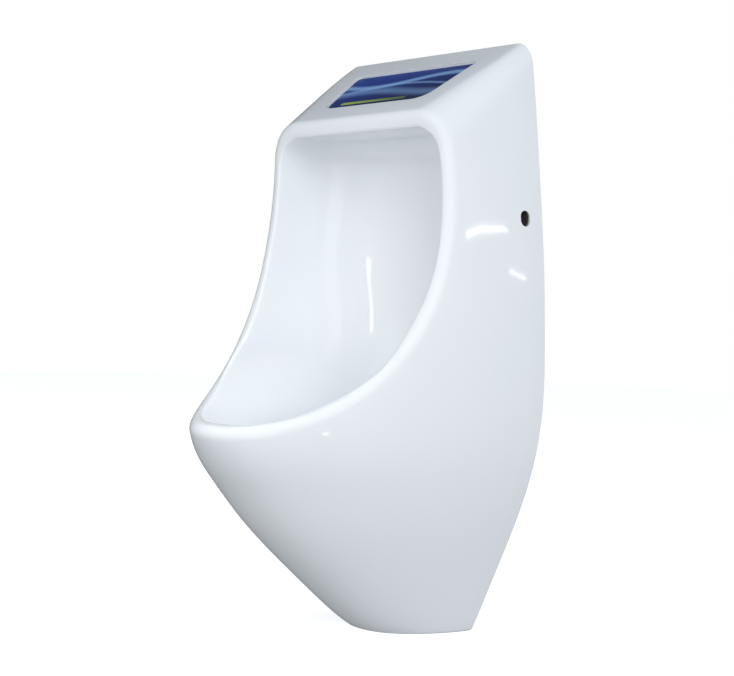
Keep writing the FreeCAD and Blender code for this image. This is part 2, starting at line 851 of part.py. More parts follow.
def side_prism(name, edges, back=0.0, down=0.0):
    """A solid cut right across the part, from an outline in the plane X = 0."""
    reach = num("waist_width")
    face = Part.Face(Part.Wire(Part.__sortEdges__(edges)))
    prism = face.extrude(Vector(2 * reach, 0, 0))
    prism.translate(Vector(-reach, back, -down))
    return feature(name, prism)


def polygon_edges(points):
    return [Part.makeLine(first, second) for first, second in zip(points, points[1:] + points[:1])]


RIDGE = Vector(0, 0, num("shell_height"))
HOOD = Vector(0, -num("hood_depth"), num("shell_height") - num("hood_drop"))
LIP = Vector(0, -num("shell_depth"), num("lip_height"))
SCOOP = Vector(0, -num("scoop_depth"), between(LIP.z, HOOD.z, num("scoop_place")))
SLOPE = (HOOD - RIDGE).normalize()
SLOPE_OUT = Vector(0, SLOPE.z, -SLOPE.y)
LEAN = math.radians(num("scoop_lean"))
SCOOP_DOWN = Vector(0, -math.sin(LEAN), -math.cos(LEAN))
SCOOP_IN = Vector(0, -SCOOP_DOWN.z, SCOOP_DOWN.y)
SKY = num("shell_height") + 2 * CUT_MARGIN
FAR_OUT = -num("shell_depth") - CUT_MARGIN


def scoop_centre(end):
    """Centre of the arc that leaves the scoop point along its lean and passes through end."""
    chord = end - SCOOP
    return SCOOP + SCOOP_IN * (chord.Length ** 2 / (2 * chord.dot(SCOOP_IN)))


def on_arc(centre, y, upper):
    """The point of a scoop arc at distance -y from the wall."""
    radius = centre.distanceToPoint(SCOOP)
    rise = math.sqrt(radius ** 2 - (y - centre.y) ** 2)
    return Vector(0, y, centre.z + (rise if upper else -rise))


HOOD_CENTRE = scoop_centre(HOOD)
LIP_CENTRE = scoop_centre(LIP)


def rim_y(z):
    """Where the scooped rim lies, out from the wall, at height z."""
    centre = HOOD_CENTRE if z > SCOOP.z else LIP_CENTRE
    radius = centre.distanceToPoint(SCOOP)
    return centre.y + math.sqrt(max(radius ** 2 - (z - centre.z) ** 2, 0))


def arc_edge(centre, start, end):
    radius = centre.distanceToPoint(SCOOP)
    middle = centre + ((start + end) * 0.5 - centre).normalize() * radius
    return Part.Arc(start, middle, end).toShape()


def hood_block(name, drop):
    """Everything above the sloping top face, lowered square to it by drop, and in front of the hood."""
    shift = SLOPE_OUT * -drop
    ridge = RIDGE - SLOPE * CUT_MARGIN + shift
    front = HOOD + SLOPE * rim_overrun() + shift
    points = [ridge, front, Vector(0, front.y, SCOOP.z), Vector(0, FAR_OUT, SCOOP.z),
              Vector(0, FAR_OUT, SKY), Vector(0, ridge.y, SKY)]
    return side_prism(name, polygon_edges(points))


def scoop_prism(name, inward):
    """Everything in front of the scooped rim, moved back and down by inward."""
    top = on_arc(HOOD_CENTRE, HOOD.y - rim_overrun(), True)
    nose = on_arc(LIP_CENTRE, LIP.y - rim_overrun(), False)
    edges = [arc_edge(HOOD_CENTRE, top, SCOOP), arc_edge(LIP_CENTRE, SCOOP, nose)]
    points = [nose, Vector(0, FAR_OUT, nose.z), Vector(0, FAR_OUT, SKY), Vector(0, top.y, SKY), top]
    edges += [Part.makeLine(first, second) for first, second in zip(points, points[1:])]
    return side_prism(name, edges, back=inward, down=inward)


def rim_overrun():
    """How far the scoop's arcs run on past the hood and the lip, to cut clean through."""
    return num("shell_wall") + num("rim_wall") + num("nose_blend")


def edge_numbers(shape, test):
    return [number for number, edge in enumerate(shape.Edges, 1) if test(edge)]


def rounded(name, base, edges):
    """A Part::Fillet over (edge number, first radius, last radius) triples."""
    made = doc.addObject("Part::Fillet", name)
    made.Base = base
    made.Edges = edges
    return made


def corner_rounds(shape, back_radius, front_radius):
    """The two long edges where the sloping top meets the sides, rounder towards the front."""
    triples = []
    for number, edge in enumerate(shape.Edges, 1):
        ends = [vertex.Point for vertex in edge.Vertexes]
        if len(ends) < 2:
            continue
        on_slope = all(abs((point - RIDGE).dot(SLOPE_OUT) - slope_offset(shape)) < TOUCH for point in ends)
        if on_slope and abs(ends[0].y - ends[1].y) > num("hood_depth") / 2:
            first_is_back = edge.valueAt(edge.FirstParameter).y > edge.valueAt(edge.LastParameter).y
            pair = (back_radius, front_radius) if first_is_back else (front_radius, back_radius)
            triples.append((number, *pair))
    return triples


def slope_offset(shape):
    """How far the highest point of a shape lies from the ridge, square to the slope."""
    return max((vertex.Point - RIDGE).dot(SLOPE_OUT) for vertex in shape.Vertexes)


def on_scoop(point, inward=0.0):
    """Whether a point lies on the scooped rim surface, moved back and down by inward."""
    return abs(rim_y(point.z + inward) - (point.y - inward)) < TOUCH


def rim_edges(shape):
    """The edges of a scooped form that run along the scoop, without the seam across it."""
    def along_rim(edge):
        ends = (edge.FirstParameter, edge.LastParameter)
        samples = [edge.valueAt(ends[0] + (ends[1] - ends[0]) * share) for share in (0.1, 0.5, 0.9)]
        seam = all(abs(point.z - SCOOP.z) < TOUCH for point in samples)
        return not seam and all(on_scoop(point) for point in samples)
    return edge_numbers(shape, along_rim)


def sloped_form(name, inset, floor, drop):
    """The outer form set in by a wall, cut to the sloping top, with its two long corners rounded."""
    loft = hull_loft(name + "Loft", inset, floor)
    cut = boolean("Cut", name + "Sloped", loft, hood_block(name + "Top", drop))
    doc.recompute()
    rounds = (num("ridge_corner_round") - inset, num("hood_corner_round") - inset)
    return rounded(name + "Corners", cut, corner_rounds(cut.Shape, *rounds))


# Bowl form: closed curves by height, lofted

BOWL_STEPS = 24
FUNNEL_LEVELS = (0, 0.08, 0.22, 0.45, 0.72, 1)
WALL_LEVELS = (0.1, 0.28, 0.52, 0.78, 1)
CEILING_TURNS = (25, 50, 70, 85)
WELL_RADIUS = num("well_width") / 2
INNER_LIP = on_arc(LIP_CENTRE, num("rim_band") - num("shell_depth"), False)
FUNNEL_TOP = INNER_LIP.z + num("rim_band") / 3
CEILING = HOOD.z - num("rim_band")


def eased(z, top):
    """Share of the way from the drain up to a height, quick at first like the floor of a bowl."""
    share = (z - num("drain_height")) / (top - num("drain_height"))
    return min(max(share, 0), 1) ** num("bowl_ease")


def bowl_half_width(z):
    """Half-width of the bowl that leaves the same rim band all the way round the scoop."""
    front, centre, power = num("shell_depth") - num("rim_band"), num("bowl_centre"), num("bowl_square")
    share = (-rim_y(z) - centre) / (front - centre)
    return plan_half_width(z, rim_y(z), num("rim_band")) / (1 - share ** power) ** (1 / power)


def bowl_wire(z, level, grow):
    """The inside of the bowl at height z, made larger by grow and drawn at another level."""
    share = eased(z, FUNNEL_TOP)
    setback = num("drain_setback")
    half = between(WELL_RADIUS, bowl_half_width(max(z, FUNNEL_TOP)), share) + grow
    front = between(setback + WELL_RADIUS, num("shell_depth") - num("rim_band"), share) + grow
    back_share = eased(z, FUNNEL_TOP + num("bowl_back_rise"))
    back = between(setback - WELL_RADIUS, num("bowl_back_gap"), back_share) - grow
    centre = between(setback, num("bowl_centre"), share)
    power = 2 / between(2, num("bowl_square"), share)
    points = []
    for step in range(BOWL_STEPS):
        angle = math.pi / 2 + 2 * math.pi * step / BOWL_STEPS
        across, out = math.cos(angle), math.sin(angle)
        reach = centre - back if out > 0 else front - centre
        x = math.copysign(half * abs(across) ** power, across)
        y = math.copysign(reach * abs(out) ** power, out) - centre
        points.append(Vector(x, y, level))
    curve = Part.BSplineCurve()
    curve.interpolate(points, PeriodicFlag=True)
    return Part.Wire([curve.toShape()])


def bowl_loft(name, grow):
    """The bowl's inside from drain to ceiling, or its outside when grown by the wall."""
    spring, radius = CEILING - num("ceiling_round"), num("ceiling_round") + grow
    funnel = [between(num("drain_height"), FUNNEL_TOP, share) for share in FUNNEL_LEVELS]
    walls = [between(FUNNEL_TOP, spring, share) for share in WALL_LEVELS]
    curves = [bowl_wire(z, z - grow, grow) for z in funnel[:-1]]
    curves += [bowl_wire(z, z, grow) for z in funnel[-1:] + walls]
    for turn in CEILING_TURNS:
        inset = radius * (1 - math.cos(math.radians(turn)))
        rise = radius * math.sin(math.radians(turn))
        curves.append(bowl_wire(spring, spring + rise, grow - inset))
    loft = doc.addObject("Part::Loft", name)
    loft.Sections = [feature(f"{name}Curve{number}", curve) for number, curve in enumerate(curves)]
    loft.Solid = True
    loft.Ruled = False
    return loft


# Display on the sloping hood

SLOPE_ANGLE = math.degrees(math.atan2(-SLOPE.z, -SLOPE.y))
DISPLAY_MIDDLE = num("display_start") + num("display_length") / 2
DISPLAY_FLOOR = RIDGE + SLOPE * DISPLAY_MIDDLE - SLOPE_OUT * num("display_depth")


def upright_edges(shape, x, y):
    """Names of the edges that stand square to the plate at distance x on either side."""
    corners = [Vector(side * x.value, y.value, 0) for side in (-1, 1)]

    def at_corner(edge):
        ends = [Vector(vertex.X, vertex.Y, 0) for vertex in edge.Vertexes]
        return any(all(end.distanceToPoint(corner) < TOUCH for end in ends) for corner in corners)
    return [f"Edge{number}" for number in edge_numbers(shape, at_corner)]


def display_plate(name, inset, bottom, top):
    """A rounded trapezoid on the hood, set in from the recess, between two heights over its floor."""
    body = new_body(name)
    body.Placement = Placement(DISPLAY_FLOOR, Rotation(Vector(1, 0, 0), SLOPE_ANGLE))
    sketch = new_sketch(body, "XY_Plane", name + "Outline")
    back, front = size.display_back_width / 2 - inset, size.display_front_width / 2 - inset
    half = size.display_length / 2 - inset
    outline(sketch, [(-front, -half), (front, -half), (back, half), (-back, half)])
    sketch.AttachmentOffset = Placement(Vector(0, 0, Formula.of(bottom).value), Rotation())
    sketch.setExpression("AttachmentOffset.Base.z", Formula.of(bottom).text)
    pad(body, sketch, top - bottom)
    for place, corner, radius in (("Front", (front, -half), size.display_front_round - inset),
                                  ("Back", (back, half), size.display_back_round - inset)):
        doc.recompute()
        plate = body.Tip
        corners = body.newObject("PartDesign::Fillet", name + place)
        corners.Base = (plate, upright_edges(plate.Shape, *corner))
        corners.setExpression("Radius", radius.text)
    doc.recompute()
    return body


skirt_gap = size.cover_skirt + size.fit_clearance * 2
groove_floor = -size.skirt_depth - size.fit_clearance
recess = boolean("Cut", "DisplayRecess",
                 display_plate("RecessOpening", Formula.of(0), groove_floor, size.display_depth + OVERRUN),
                 display_plate("RecessPedestal", skirt_gap, groove_floor - OVERRUN, Formula.of(0)))


cover_inset = size.fit_clearance
card_inset = skirt_gap + size.fit_clearance
cover_top = size.card_thickness + size.cover_thickness
display_card = display_plate("display_card", card_inset, Formula.of(0), size.card_thickness)
cover_skirt = boolean("Cut", "CoverSkirt",
                      display_plate("SkirtOutside", cover_inset, -size.skirt_depth, size.card_thickness),
                      display_plate("SkirtInside", cover_inset + size.cover_skirt, groove_floor, cover_top))
display_cover = joined("display_cover", [
    display_plate("CoverPlate", cover_inset, size.card_thickness, cover_top), cover_skirt])

# Trap, float and bracket pieces

housing = trap_housing()
gasket = drain_ring("housing_gasket", hole_radius, flange_radius, drain_floor, seal_top)
slip_washer = drain_ring("slip_washer", hole_radius, hole_radius + size.nut_wall, nut_top, under_bowl)
ring_nut = housing_nut()
pipe = outlet_pipe()
pipe_seal = outlet_seal()
strainer = strainer_disc()
dome_piece = dome()
block_piece = cleaning_block()
cup = cartridge_cup()
cup_seal = cartridge_seal()
spider = guide_spider()
bell = float_bell()
bell_seal = drain_ring("float_seal", stem_hole, size.float_seal_width / 2, standpipe_top, bell_under)
stem = float_stem()
bracket = wall_bracket()
nuts = group("bracket_nuts", both_sides("WeldNut", weld_nut))
washers = group("side_washers", both_sides("SideWasher", side_washer))
screws = group("side_screws", both_sides("SideScrew", side_screw))

# Outer shell

behind_wall = block("BehindWall", (-OUTSIDE * 2, OUTSIDE * 2), (Formula.of(0), Formula.of(CUT_MARGIN)),
                    (Formula.of(-CUT_MARGIN), size.shell_height + CUT_MARGIN * 2))
outer_sloped = sloped_form("Outer", 0.0, 0.0, 0.0)
inner_sloped = sloped_form("Inner", num("shell_wall"), num("shell_wall"), num("hood_wall"))
flange_sloped = sloped_form("Flange", num("shell_wall") + num("glue_gap"), num("shell_wall"),
                            num("hood_wall") + num("glue_gap"))
outer_form = boolean("Cut", "OuterForm", outer_sloped, behind_wall)
scooped_form = boolean("Cut", "ScoopedForm", outer_form, scoop_prism("Scoop", 0.0))
doc.recompute()
foot = edge_numbers(
    scooped_form.Shape, lambda edge: edge.BoundBox.ZMax < OVERRUN and edge.BoundBox.YMin < -OVERRUN)
edge_rounds = [(number, num("rim_round"), num("rim_round")) for number in rim_edges(scooped_form.Shape)]
edge_rounds += [(number, num("foot_round"), num("foot_round")) for number in foot]
rounded_form = rounded("RoundedForm", scooped_form, edge_rounds)
scoop_back = scoop_prism("ScoopBack", num("rim_wall"))
hollow = boolean("Cut", "Hollow", inner_sloped, scoop_back)
cavity = bowl_loft("Cavity", 0.0)
open_back = boolean("Cut", "OpenBack", rounded_form, hollow)
open_shell = boolean("Cut", "OpenShell", open_back, cavity)
doc.recompute()


def lies_on(shape, edge):
    """Whether the middle of an edge lies on a shape's surface."""
    middle = edge.valueAt((edge.FirstParameter + edge.LastParameter) / 2)
    return shape.Shells[0].distToShape(Part.Vertex(middle))[0] < TOUCH


inner_rim = [number for number in rim_edges(open_shell.Shape)
             if lies_on(cavity.Shape, open_shell.Shape.Edges[number - 1])]
rimmed_shell = rounded("RimmedShell", open_shell,
                       [(number, num("rim_inner_round"), num("rim_inner_round")) for number in inner_rim])

bar_back = -size.bracket_sheet - size.hook_play
bar_front = -size.bracket_sheet - size.hook_gap + size.hook_play
bar = block("HangingBar", (-OUTSIDE, OUTSIDE), (bar_front, bar_back),
            (hook_height, hook_height + size.bar_height))
boss_wall = size.pocket_wall * 2
bosses = both_sides("PocketBoss", lambda name: upright_slot(
    name, size.screw_pocket_width + boss_wall, size.screw_pocket_height + boss_wall, HALF_SPAN, OUTSIDE))
inside_parts = boolean("Common", "InsideParts", joined("BarAndBosses", [bar] + bosses), rounded_form)
pockets = both_sides("ScrewPocket", lambda name: upright_slot(
    name, size.screw_pocket_width, size.screw_pocket_height, POCKET_FACE, OUTSIDE))
shank_holes = both_sides("ScrewHole", lambda name: cross_cylinder(
    name, screw_hole, HALF_SPAN - OVERRUN, POCKET_FACE + OVERRUN))
outer_shell = boolean("Cut", "outer_shell", joined("FilledShell", [rimmed_shell, inside_parts]),
                      joined("ShellCuts", pockets + shank_holes + [recess]))

# Bowl

bowl_outside = joined("BowlOutside", [
    bowl_loft("BowlOuter", num("bowl_wall")),
    drain_cylinder("WellOutside", size.well_width / 2 + size.bowl_wall, under_bowl, size.drain_height)])
behind_rim = boolean("Cut", "BehindRim", bowl_outside, scoop_back)
flange_zone = boolean("Cut", "FlangeZone", flange_sloped, scoop_back)
flange = boolean("Common", "GlueFlange", flange_zone,
                 scoop_prism("FlangeBack", num("rim_wall") + num("glue_flange")))
drain_cuts = joined("BowlCuts", [
    cavity,
    drain_cylinder("Well", size.well_width / 2, drain_floor, size.drain_height + OVERRUN),
    drain_cylinder("DrainHole", hole_radius, under_bowl - OVERRUN, size.drain_height)])
bowl = boolean("Cut", "bowl", joined("BowlAndFlange", [behind_rim, flange]), drain_cuts)

# Build, check and write the sub-parts

doc.recompute()
for made in doc.Objects:
    if "Invalid" in made.State or "Error" in made.State:
        raise RuntimeError(f"{made.Label}: {made.getStatusString()}")

SUBPARTS = (
    outer_shell, bowl, display_card, display_cover, bracket, nuts, washers, screws, housing, gasket,
    slip_washer, ring_nut, pipe, pipe_seal, strainer, dome_piece, block_piece, cup, cup_seal, spider,
    bell, bell_seal, stem)
os.makedirs("parts", exist_ok=True)
for part in SUBPARTS:
    if part.Shape.isNull() or not part.Shape.isValid():
        raise RuntimeError(f"{part.Label} has no valid shape")
    part.Shape.exportStep(f"parts/{part.Label}.step")
    print(part.Label, len(part.Shape.Solids), "solid(s),", round(part.Shape.Volume / 1000, 2), "cm3")
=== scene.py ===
"""Finishes, studio and camera for a wall-hung waterless urinal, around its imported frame."""

import json
import math

import bpy
from mathutils import Matrix, Vector

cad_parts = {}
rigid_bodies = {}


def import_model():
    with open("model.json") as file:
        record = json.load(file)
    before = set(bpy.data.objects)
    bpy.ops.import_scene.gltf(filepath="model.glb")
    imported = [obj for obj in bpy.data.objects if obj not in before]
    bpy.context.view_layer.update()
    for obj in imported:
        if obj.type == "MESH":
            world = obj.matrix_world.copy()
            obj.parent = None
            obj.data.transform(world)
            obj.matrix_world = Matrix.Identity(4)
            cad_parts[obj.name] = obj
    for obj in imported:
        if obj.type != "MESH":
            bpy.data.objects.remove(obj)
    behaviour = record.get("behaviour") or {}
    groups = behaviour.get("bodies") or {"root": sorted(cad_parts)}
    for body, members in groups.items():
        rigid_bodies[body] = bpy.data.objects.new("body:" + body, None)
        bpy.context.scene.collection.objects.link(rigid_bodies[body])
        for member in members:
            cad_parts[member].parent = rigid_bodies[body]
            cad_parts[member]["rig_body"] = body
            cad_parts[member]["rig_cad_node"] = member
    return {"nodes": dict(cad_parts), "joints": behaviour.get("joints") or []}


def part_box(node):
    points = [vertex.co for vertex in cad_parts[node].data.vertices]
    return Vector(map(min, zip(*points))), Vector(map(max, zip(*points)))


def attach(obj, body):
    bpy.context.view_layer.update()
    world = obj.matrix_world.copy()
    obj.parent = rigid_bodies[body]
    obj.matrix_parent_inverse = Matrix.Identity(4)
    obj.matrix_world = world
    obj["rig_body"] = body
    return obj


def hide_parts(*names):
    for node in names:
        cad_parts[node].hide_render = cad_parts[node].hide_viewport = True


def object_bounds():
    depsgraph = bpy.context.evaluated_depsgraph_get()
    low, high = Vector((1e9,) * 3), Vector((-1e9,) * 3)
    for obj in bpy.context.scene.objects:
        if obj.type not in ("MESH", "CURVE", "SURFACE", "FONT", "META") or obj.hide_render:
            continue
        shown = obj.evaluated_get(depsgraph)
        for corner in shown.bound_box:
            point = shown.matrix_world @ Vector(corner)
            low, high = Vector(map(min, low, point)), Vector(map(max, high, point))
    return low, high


bl_info = {
    "name": "Waterless Urinal Finishes",
    "version": (1, 0, 0),
    "blender": (4, 5, 0),
    "location": "View3D > Sidebar > Urinal",
    "description": "Finishes the pieces of a wall-hung waterless urinal and sets its studio",
    "category": "Object",
}

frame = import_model()
NODES = frame["nodes"]
CAD_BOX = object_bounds()
FLOOR_LEVEL = CAD_BOX[0].z
FLOOR_RADIUS = 6.0
MERGE_DISTANCE = 1e-5
# Painted shade in the side screws' pockets: the mask's clearance, its rise, and the depths between which
# the shade fades.
POCKET_CLEARANCE = 0.001
POCKET_RISE = 0.009
POCKET_SHADE_DEPTHS = (0.0125, 0.0165)
SENSOR_WIDTH = 36.0
CAMERA_TARGET = (0.0, -0.130, 0.350)
CAMERA_SHIFT = 0.018


def joint_axis(name):
    """The direction in which a joint of the frame moves."""
    return Vector(next(joint["axis"] for joint in frame["joints"] if joint["name"] == name))


# Settings that a user would change

def colour_property(name, description, default):
    return bpy.props.FloatVectorProperty(
        name=name, description=description, default=default, subtype="COLOR", min=0.0, max=1.0)


def power_property(name, description, default):
    return bpy.props.FloatProperty(name=name, description=description, default=default, unit="POWER")


class UrinalShellSettings(bpy.types.PropertyGroup):
    """Polished white of the shell and the bowl."""
    white: colour_property("White", "Colour of the moulded plastic", (0.86, 0.875, 0.89))
    shade: colour_property("Shade", "Cooler tint that drifts through the white", (0.83, 0.855, 0.88))
    # Painted shade: this colour darkens the walls of the side screws' pockets, where shade falls.
    pocket_shade: colour_property("Pocket", "Dark lining of the side screws' pockets", (0.055, 0.052, 0.042))
    gloss: bpy.props.FloatProperty(
        name="Roughness", description="Mean roughness of the polish", default=0.07, min=0.0, max=1.0)
    peel: bpy.props.FloatProperty(
        name="Peel", description="Height of the moulding's faint ripple", default=0.000003,
        min=0.0, max=0.001, subtype="DISTANCE", unit="LENGTH", precision=5)
    crease: bpy.props.FloatProperty(
        name="Crease", description="Edges sharper than this stay sharp", default=math.radians(38),
        min=0.0, max=math.pi, subtype="ANGLE")


class UrinalDisplaySettings(bpy.types.PropertyGroup):
    """Printed card under the clear cover."""
    deep: colour_property("Deep blue", "Darkest blue of the print", (0.003, 0.009, 0.06))
    blue: colour_property("Blue", "Main blue of the print", (0.004, 0.034, 0.26))
    pale: colour_property("Pale blue", "Colour of the drifting bands", (0.28, 0.48, 0.82))
    lime: colour_property("Lime", "Colour of the accent", (0.36, 0.5, 0.06))


class UrinalTrapSettings(bpy.types.PropertyGroup):
    """Drain pieces: housing, pipe, cartridge and float."""
    housing: colour_property("Housing grey", "Colour of the housing and its nut", (0.20, 0.215, 0.235))
    pipe: colour_property("Pipe grey", "Colour of the outlet pipe", (0.30, 0.31, 0.33))
    strainer: colour_property("Strainer white", "Colour of the perforated disc", (0.87, 0.88, 0.89))
    frosted: colour_property("Frosted dome", "Colour of the dome", (0.74, 0.76, 0.78))
    block: colour_property("Block blue", "Colour of the cleaning block", (0.01, 0.22, 0.74))
    cup: colour_property("Cup grey", "Colour of the cartridge's cup", (0.30, 0.32, 0.34))
    float_blue: colour_property("Float blue", "Colour of the float", (0.05, 0.20, 0.48))


class UrinalStageSettings(bpy.types.PropertyGroup):
    """Studio floor, lights and camera."""
    azimuth: bpy.props.FloatProperty(
        name="Azimuth", description="Camera's turn round the object from the front",
        default=math.radians(45.08), subtype="ANGLE")
    elevation: bpy.props.FloatProperty(
        name="Elevation", description="Camera's angle above the horizon",
        default=math.radians(1.21), subtype="ANGLE")
    roll: bpy.props.FloatProperty(
        name="Roll", description="Camera's turn about its own axis",
        default=math.radians(1.6), subtype="ANGLE")
    distance: bpy.props.FloatProperty(
        name="Distance", description="Camera's distance from its target", default=1.6285, min=0.1,
        subtype="DISTANCE", unit="LENGTH")
    lens: bpy.props.FloatProperty(
        name="Lens", description="Focal length on a 36 mm wide sensor", default=67.9, min=1.0)
    key: power_property("Key", "Power of the main soft light", 34.0)
    fill: power_property("Fill", "Power of the left fill light", 9.7)
    inside: power_property("Inside", "Power of the light that fills the bowl", 4.7)
    back: power_property("Back", "Power of the light behind the object", 22.0)
    floor: colour_property("Floor", "Colour of the pale floor", (0.9, 0.9, 0.9))


# Node trees: sockets that take part in Python arithmetic

class Tone:
    """An output socket; arithmetic on it adds Math nodes to its tree."""

    def __init__(self, shade, socket):
        self.shade = shade
        self.socket = socket

    def math(self, operation, first, second=0.0):
        return self.shade.add("ShaderNodeMath", {"operation": operation}, {0: first, 1: second})

    def __add__(self, other):
        return self.math("ADD", self, other)

    def __radd__(self, other):
        return self.math("ADD", other, self)

    def __sub__(self, other):
        return self.math("SUBTRACT", self, other)

    def __rsub__(self, other):
        return self.math("SUBTRACT", other, self)

    def __mul__(self, other):
        return self.math("MULTIPLY", self, other)

    def __truediv__(self, other):
        return self.math("DIVIDE", self, other)

    def __pow__(self, other):
        return self.math("POWER", self, other)

    def __abs__(self):
        return self.math("ABSOLUTE", self)

    def at_least(self, limit):
        return self.math("MAXIMUM", self, limit)

    def sine(self):
        return self.math("SINE", self)

    def above(self, limit):
        """1 where the value passes the limit, 0 elsewhere."""
        return self.math("GREATER_THAN", self, limit)

    def ramp(self, low, high):
        """0 at low, 1 at high, smooth between and held outside."""
        return self.shade.add("ShaderNodeMapRange", {"interpolation_type": "SMOOTHSTEP"},
                              {"Value": self, "From Min": low, "From Max": high})


class Shade:
    """A node tree that nodes are added to one call at a time."""

    def __init__(self, tree):
        self.tree = tree
        tree.nodes.clear()

    def add(self, kind, settings=None, sockets=None, output=0):
        """A node with its settings first, then the values or links of its sockets."""
        node = self.tree.nodes.new(kind)
        for name, value in (settings or {}).items():
            setattr(node, name, value)
        for name, value in (sockets or {}).items():
            self.feed(node.inputs[name], value)
        return Tone(self, node.outputs[output])

    def feed(self, socket, value):
        if isinstance(value, Tone):
            self.tree.links.new(value.socket, socket)
        elif socket.type == "RGBA" and len(value) == 3:
            socket.default_value = (*value, 1.0)
        else:
            socket.default_value = value

    def place(self):
        return self.add("ShaderNodeTexCoord", output="Object")

    def share(self, vector, direction):
        """How far a vector reaches along a direction."""
        return self.add("ShaderNodeVectorMath", {"operation": "DOT_PRODUCT"},
                        {0: vector, 1: direction}, output="Value")

    def coordinate(self, part):
        """One of the object coordinates X, Y and Z."""
        return self.add("ShaderNodeSeparateXYZ", None, {"Vector": self.place()}, output=part)

    def mapped(self, scale):
        """Object coordinates, stretched."""
        return self.add("ShaderNodeMapping", None, {"Vector": self.place(), "Scale": scale})

    def noise(self, scale, detail=2.0, vector=None):
        return self.add("ShaderNodeTexNoise", None,
                        {"Vector": vector or self.place(), "Scale": scale, "Detail": detail})

    def blend(self, factor, first, second):
        """A colour between two others."""
        return self.add("ShaderNodeMix", {"data_type": "RGBA"}, {0: factor, 6: first, 7: second}, output=2)

    def bump(self, height, distance):
        return self.add("ShaderNodeBump", None, {"Height": height, "Distance": distance, "Strength": 1.0})


class Finish(Shade):
    """A material: one Principled shader and the nodes that feed it."""

    def __init__(self, name):
        self.material = bpy.data.materials.new(name)
        self.material.use_nodes = True
        super().__init__(self.material.node_tree)
        self.shader = self.tree.nodes.new("ShaderNodeBsdfPrincipled")
        output = self.tree.nodes.new("ShaderNodeOutputMaterial")
        self.tree.links.new(self.shader.outputs["BSDF"], output.inputs["Surface"])

    def set(self, **sockets):
        """Feed the shader's sockets, named with underscores for spaces."""
        for name, value in sockets.items():
            self.feed(self.shader.inputs[name.replace("_", " ")], value)
        return self


# Finishes

def pocket_shade_mask(finish):
    """Mask of the painted shade: 1 on the walls of the side screws' pockets, 0 elsewhere."""
    low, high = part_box("side_washers")
    axis = (low + high) / 2
    half = (high.y - low.y) / 2 + POCKET_CLEARANCE
    rise = POCKET_RISE - half
    x, y, z = (finish.coordinate(part) for part in "XYZ")
    up = (abs(z - axis.z) - rise).at_least(0.0)
    across = y - axis.y
    reach = (across * across + up * up) ** 0.5
    inner, outer = POCKET_SHADE_DEPTHS
    depth = abs(x) - high.x
    return (1.0 - reach.ramp(half + 0.0001, half + 0.0005)) * (1.0 - depth.ramp(inner, outer))


def polished_white(name, settings, ripple, shaded_pockets=False):
    """Polished white moulding: a faint cool drift, uneven polish and a slow ripple, and on the shell
    painted shade in the side screws' pockets.
    """
    finish = Finish(name)
    drift = finish.noise(3.5, 3.0).ramp(0.3, 0.7)
    polish = finish.noise(14.0, 4.0)
    waves = finish.noise(ripple, 1.0)
    white = finish.blend(drift, settings.white, settings.shade)
    if shaded_pockets:
        # Painted shade: the side screws' pockets are darkened to the pocket colour.
        white = finish.blend(pocket_shade_mask(finish), white, settings.pocket_shade)
    return finish.set(
        Base_Color=white,
        Roughness=settings.gloss * 0.6 + polish * settings.gloss * 0.8,
        Normal=finish.bump(waves, settings.peel),
        Coat_Weight=0.25, Coat_Roughness=0.03, Specular_IOR_Level=0.5)


def moulded_plastic(name, colour, roughness, grain=900.0, alpha=1.0):
    """Plain moulded plastic with a fine matt grain and a slight cloudiness."""
    finish = Finish(name)
    cloud = finish.noise(24.0, 3.0).ramp(0.25, 0.75)
    darker = tuple(0.86 * part for part in colour)
    return finish.set(
        Base_Color=finish.blend(cloud, darker, colour),
        Roughness=roughness * 0.8 + finish.noise(60.0, 3.0) * roughness * 0.4,
        Normal=finish.bump(finish.noise(grain, 2.0), 0.00006),
        Alpha=alpha)


def black_rubber(name):
    """Soft black rubber with a bloom of dust."""
    finish = Finish(name)
    bloom = finish.noise(90.0, 5.0).ramp(0.45, 0.8)
    return finish.set(
        Base_Color=finish.blend(bloom, (0.012, 0.012, 0.013), (0.045, 0.045, 0.047)),
        Roughness=0.62 + bloom * 0.25,
        Normal=finish.bump(finish.noise(700.0, 2.0), 0.00005))


def zinc_sheet(name):
    """Zinc-coated sheet with its crystal spangle."""
    finish = Finish(name)
    flakes = finish.add("ShaderNodeTexVoronoi", None,
                        {"Vector": finish.place(), "Scale": 110.0}, output="Color")
    tone = finish.add("ShaderNodeRGBToBW", None, {"Color": flakes})
    return finish.set(
        Base_Color=finish.blend(tone, (0.58, 0.60, 0.62), (0.74, 0.76, 0.78)),
        Metallic=0.75,
        Roughness=0.34 + tone * 0.18,
        Normal=finish.bump(tone, 0.00004))


def turned_steel(name, dark, light):
    """Steel with fine turning marks along the screw's axis."""
    finish = Finish(name)
    lines = finish.noise(1.0, 2.0, finish.mapped((6000.0, 120.0, 120.0)))
    return finish.set(
        Base_Color=finish.blend(lines, dark, light),
        Metallic=1.0,
        Roughness=0.24 + lines * 0.16,
        Normal=finish.bump(lines, 0.00003))


def pressed_block(name, colour):
    """Pressed blue cleaning block: mottled and grainy."""
    finish = Finish(name)
    mottle = finish.noise(160.0, 5.0).ramp(0.35, 0.7)
    pale = tuple(min(1.0, part * 1.7 + 0.03) for part in colour)
    return finish.set(
        Base_Color=finish.blend(mottle, colour, pale),
        Roughness=0.5 + mottle * 0.25,
        Normal=finish.bump(finish.noise(900.0, 4.0), 0.0002))


